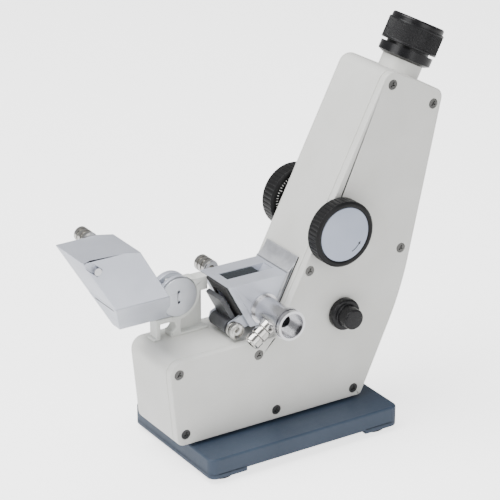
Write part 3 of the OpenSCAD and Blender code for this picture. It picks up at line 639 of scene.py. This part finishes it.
for nodeName, width, body in (
    ("prism_housing", 0.35, "instrument"), ("entry_frame", 0.3, "instrument"),
    ("prism_flange", 0.25, "instrument"), ("prism_bracket", 0.6, "instrument"),
    ("incident_housing", 0.45, "incident_mount"), ("hinge_arm", 0.3, "incident_mount"),
    ("hinge_cap", 0.3, "incident_mount"), ("mirror_frame", 0.2, "reflector"),
):
    softened(nodeName, width, body)

screw = {"r": 4.9, "ribs": 40, "ribDepth": 0.35}
mirrorLow, mirrorHigh = (np.array(v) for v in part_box("mirror_knob"))
mirrorAxis = (mirrorLow + mirrorHigh) / 2
mirrorProfile = softProfile(
    [(0, 5.3), (1.9, 5.3), (2.1, 5.0), (2.5, 4.9), (screw["r"] - 0.8, 5.6), (screw["r"], 5.1),
     (screw["r"], 2.9),
     (screw["r"] - 0.5, 2.6), (screw["r"] - 1.4, 2.6), (screw["r"] - 1.4, 1.8), (screw["r"] - 0.3, 1.8),
     (screw["r"] - 0.3, 0), (2.02, 0)],
    [0, 0.1, 0.1, 0.1, 0.3, 0.3, 0.2, 0.1, 0, 0, 0.2, 0.2, 0], 3) * mm
mirrorStart = np.array([mirrorAxis[0], mirrorHigh[1], mirrorAxis[2]])


def screwWave(angle, h):
    band = np.clip(np.minimum(h - 2.9 * mm, 5.1 * mm - h) / (0.2 * mm) + 1, 0, 1)
    return -screw["ribDepth"] * mm * (1 - np.abs(np.sin(angle * screw["ribs"] / 2))) * band


knobPoints, knobQuads = turned(mirrorProfile, mirrorStart, (0, -1, 0), screw["ribs"] * 8)
rel = knobPoints - mirrorStart
flat = rel * np.array([1, 0, 1])
radius = np.linalg.norm(flat, axis=-1)
edge = np.clip((radius - (screw["r"] - 0.6) * mm) / (0.5 * mm), 0, 1)
spin = np.linspace(0, 2 * math.pi, knobPoints.shape[1], endpoint=False)[None, :]
safe = np.maximum(radius, 1e-9)
knobPoints = knobPoints + flat / safe[..., None] * (screwWave(spin, -rel[..., 1]) * edge)[..., None]
mirrorKnob = piece("mirrorScrew", [(knobPoints, knobQuads)], "chrome", "reflector", 45)
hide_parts("mirror_knob")
print("prism pair made")

studio = {"floor": (0.96, 0.96, 0.96), "floorRough": 0.8, "floorHalf": 6, "glowLit": 0.3, "glowSeen": 2.2,
          "world": 0.4, "aimHeight": 0.1}
floorEdge = studio["floorHalf"]
floorMesh = bpy.data.meshes.new("floor")
floorCorners = [(-floorEdge, -floorEdge, 0), (floorEdge, -floorEdge, 0), (floorEdge, floorEdge, 0),
                (-floorEdge, floorEdge, 0)]
floorMesh.from_pydata(floorCorners, [], [(0, 1, 2, 3)])
floor = bpy.data.objects.new("floor", floorMesh)
bpy.context.scene.collection.objects.link(floor)
floorMat, floorTree, floorShader, _ = nodeTree("paleFloor")
# the floor shows paler to the camera than it lights the instrument
floorShader.inputs["Base Color"].default_value = (*studio["floor"], 1)
floorShader.inputs["Roughness"].default_value = studio["floorRough"]
floorShader.inputs["Emission Color"].default_value = (1, 1, 1, 1)
seen = floorTree.nodes.new("ShaderNodeLightPath")
glow = floorTree.nodes.new("ShaderNodeMapRange")
glow.inputs["To Min"].default_value = studio["glowLit"]
glow.inputs["To Max"].default_value = studio["glowSeen"]
floorTree.links.new(seen.outputs["Is Camera Ray"], glow.inputs["Value"])
floorTree.links.new(glow.outputs["Result"], floorShader.inputs["Emission Strength"])
floorMesh.materials.append(floorMat)

world = bpy.data.worlds.new("studio")
bpy.context.scene.world = world
world.use_nodes = True
world.node_tree.nodes["Background"].inputs["Color"].default_value = (1, 1, 1, 1)
world.node_tree.nodes["Background"].inputs["Strength"].default_value = studio["world"]

aim = Vector((baseX, 0, studio["aimHeight"]))
for name, place, size, power in (
    ("keyLight", (-0.45, 0.15, 1.5), 1.2, 36),
    ("nearFill", (0.1, -1.6, 0.75), 1.2, 13),
    ("leftFill", (-1.5, -0.1, 0.7), 1.0, 15),
):
    data = bpy.data.lights.new(name, "AREA")
    data.size = size
    data.energy = power
    lamp = bpy.data.objects.new(name, data)
    lamp.location = place
    lamp.rotation_euler = (aim - Vector(place)).to_track_quat("-Z", "Y").to_euler()
    bpy.context.scene.collection.objects.link(lamp)

view = {"place": (-0.628457, -0.968803, 0.601955), "turn": 32.4949, "drop": 22.8878, "lens": 157.16}
cameraData = bpy.data.cameras.new("camera")
cameraData.lens = view["lens"]
cameraData.sensor_width = 36
cameraData.clip_start = 0.01
camera = bpy.data.objects.new("camera", cameraData)
camera.location = Vector(view["place"]) + Vector((baseX, 0, 0))
camera.rotation_euler = (math.radians(90 - view["drop"]), 0, -math.radians(view["turn"]))
bpy.context.scene.collection.objects.link(camera)
bpy.context.scene.camera = camera
print("stage made")
